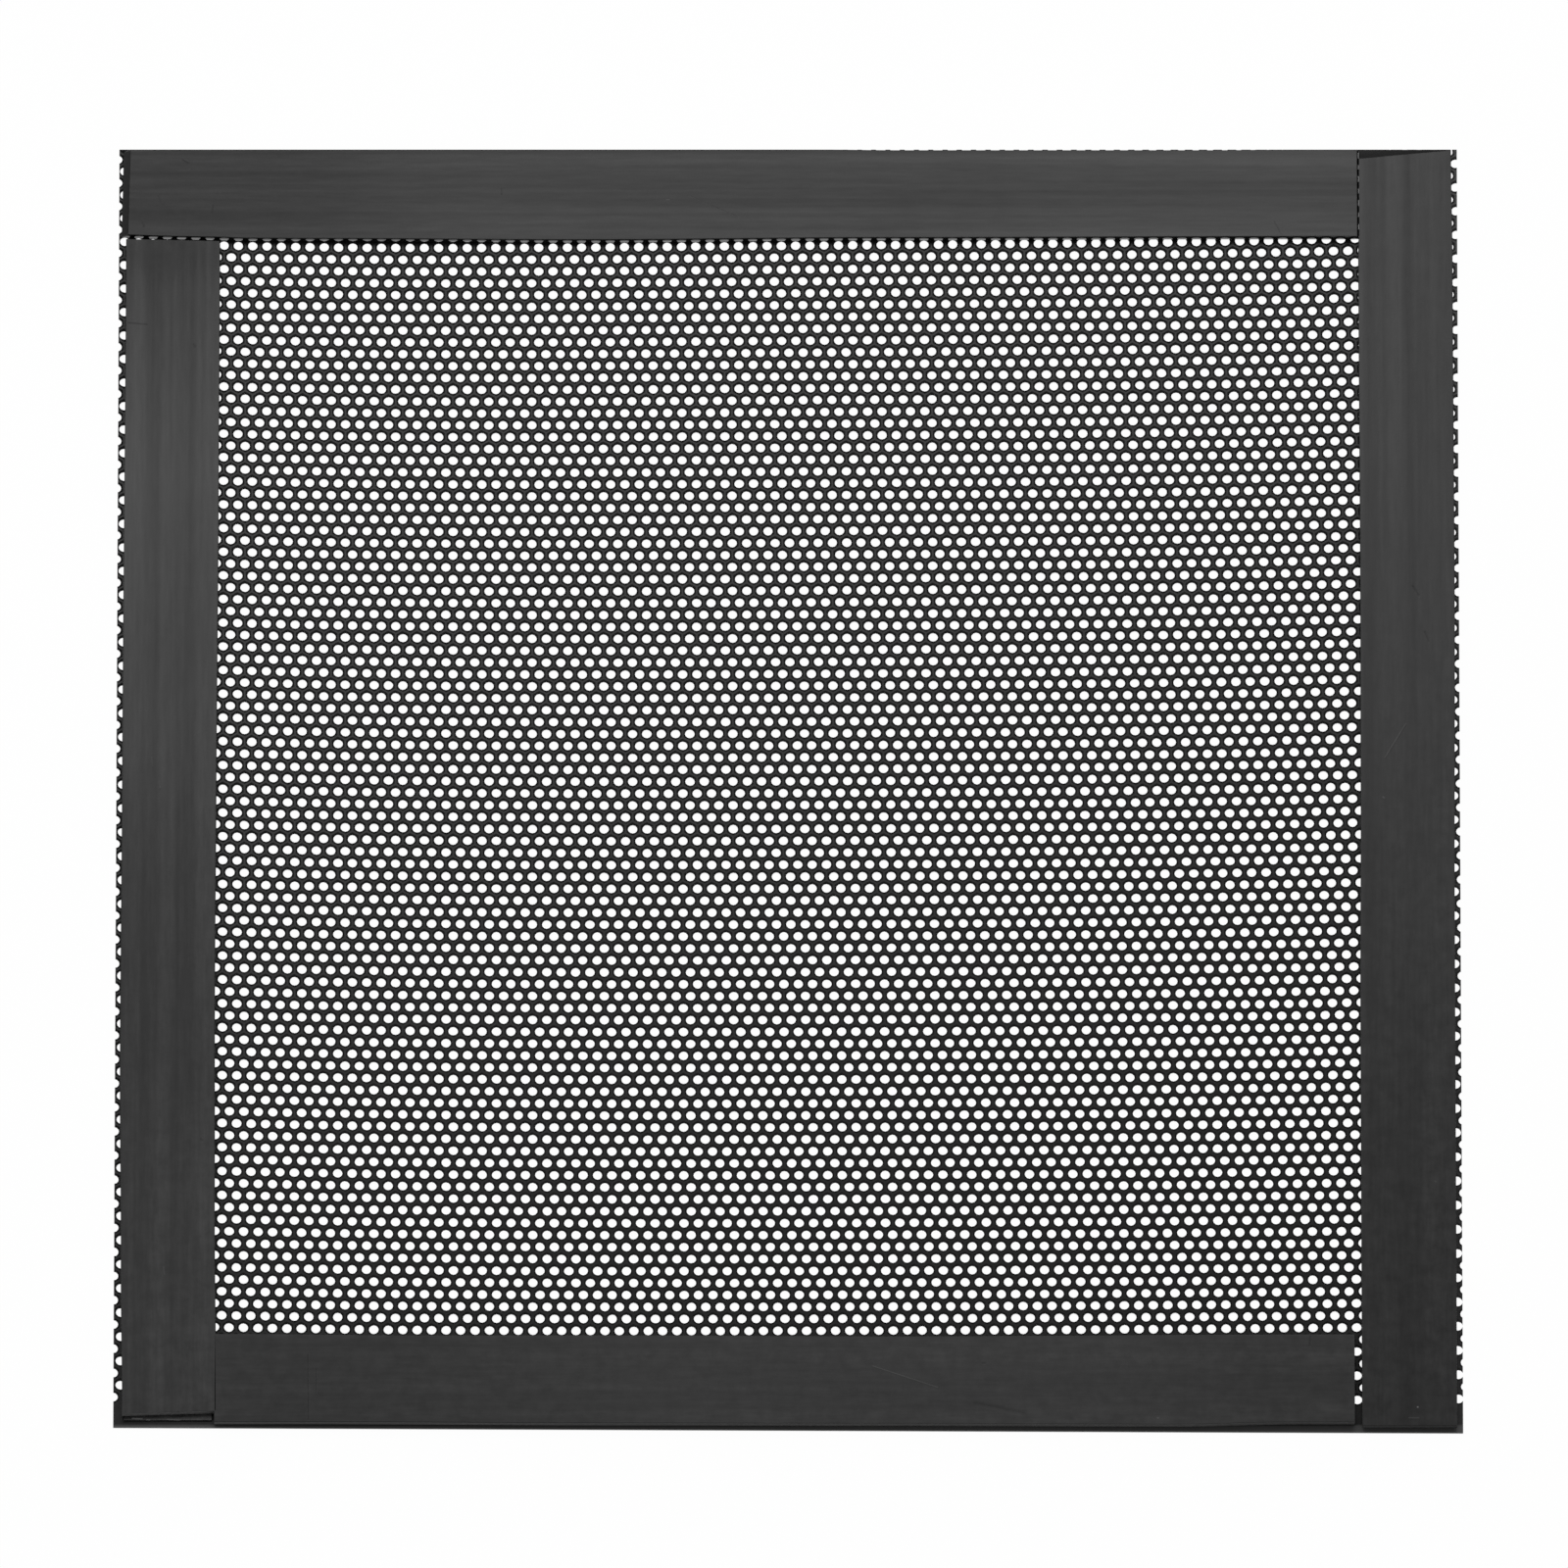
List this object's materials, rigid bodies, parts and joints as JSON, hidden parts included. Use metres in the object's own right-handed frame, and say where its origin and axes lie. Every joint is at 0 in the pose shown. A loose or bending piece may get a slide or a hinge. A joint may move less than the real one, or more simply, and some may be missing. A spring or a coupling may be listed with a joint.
{
  "type": "fan dust filter",
  "caption": "Square, flat dust filter for a computer fan: a thin, finely perforated black plastic sheet with flat flexible magnet strips bonded along its edges.",
  "frame": {"origin": "under the middle of the square sheet, on the surface that the filter lies on", "axes": "+Z from the bare side of the sheet to the magnet side, +Y towards the top strip and +X towards the right strip of the picture"},
  "size_m": [0.14, 0.14, 0.0016],
  "materials": {
    "black_plastic": "semi-matt black vinyl",
    "magnet_rubber": "satin charcoal, rolled lengthwise",
    "adhesive": "glossy, dark over the black sheet"
  },
  "bodies": {
    "root": {"perforated_sheet": "black_plastic", "magnet_strip_top": "magnet_rubber", "magnet_strip_right": "magnet_rubber", "magnet_strip_bottom": "magnet_rubber", "magnet_strip_left": "magnet_rubber", "adhesive_film_top": "adhesive", "adhesive_film_right": "adhesive", "adhesive_film_bottom": "adhesive", "adhesive_film_left": "adhesive"}
  },
  "joints": []
}
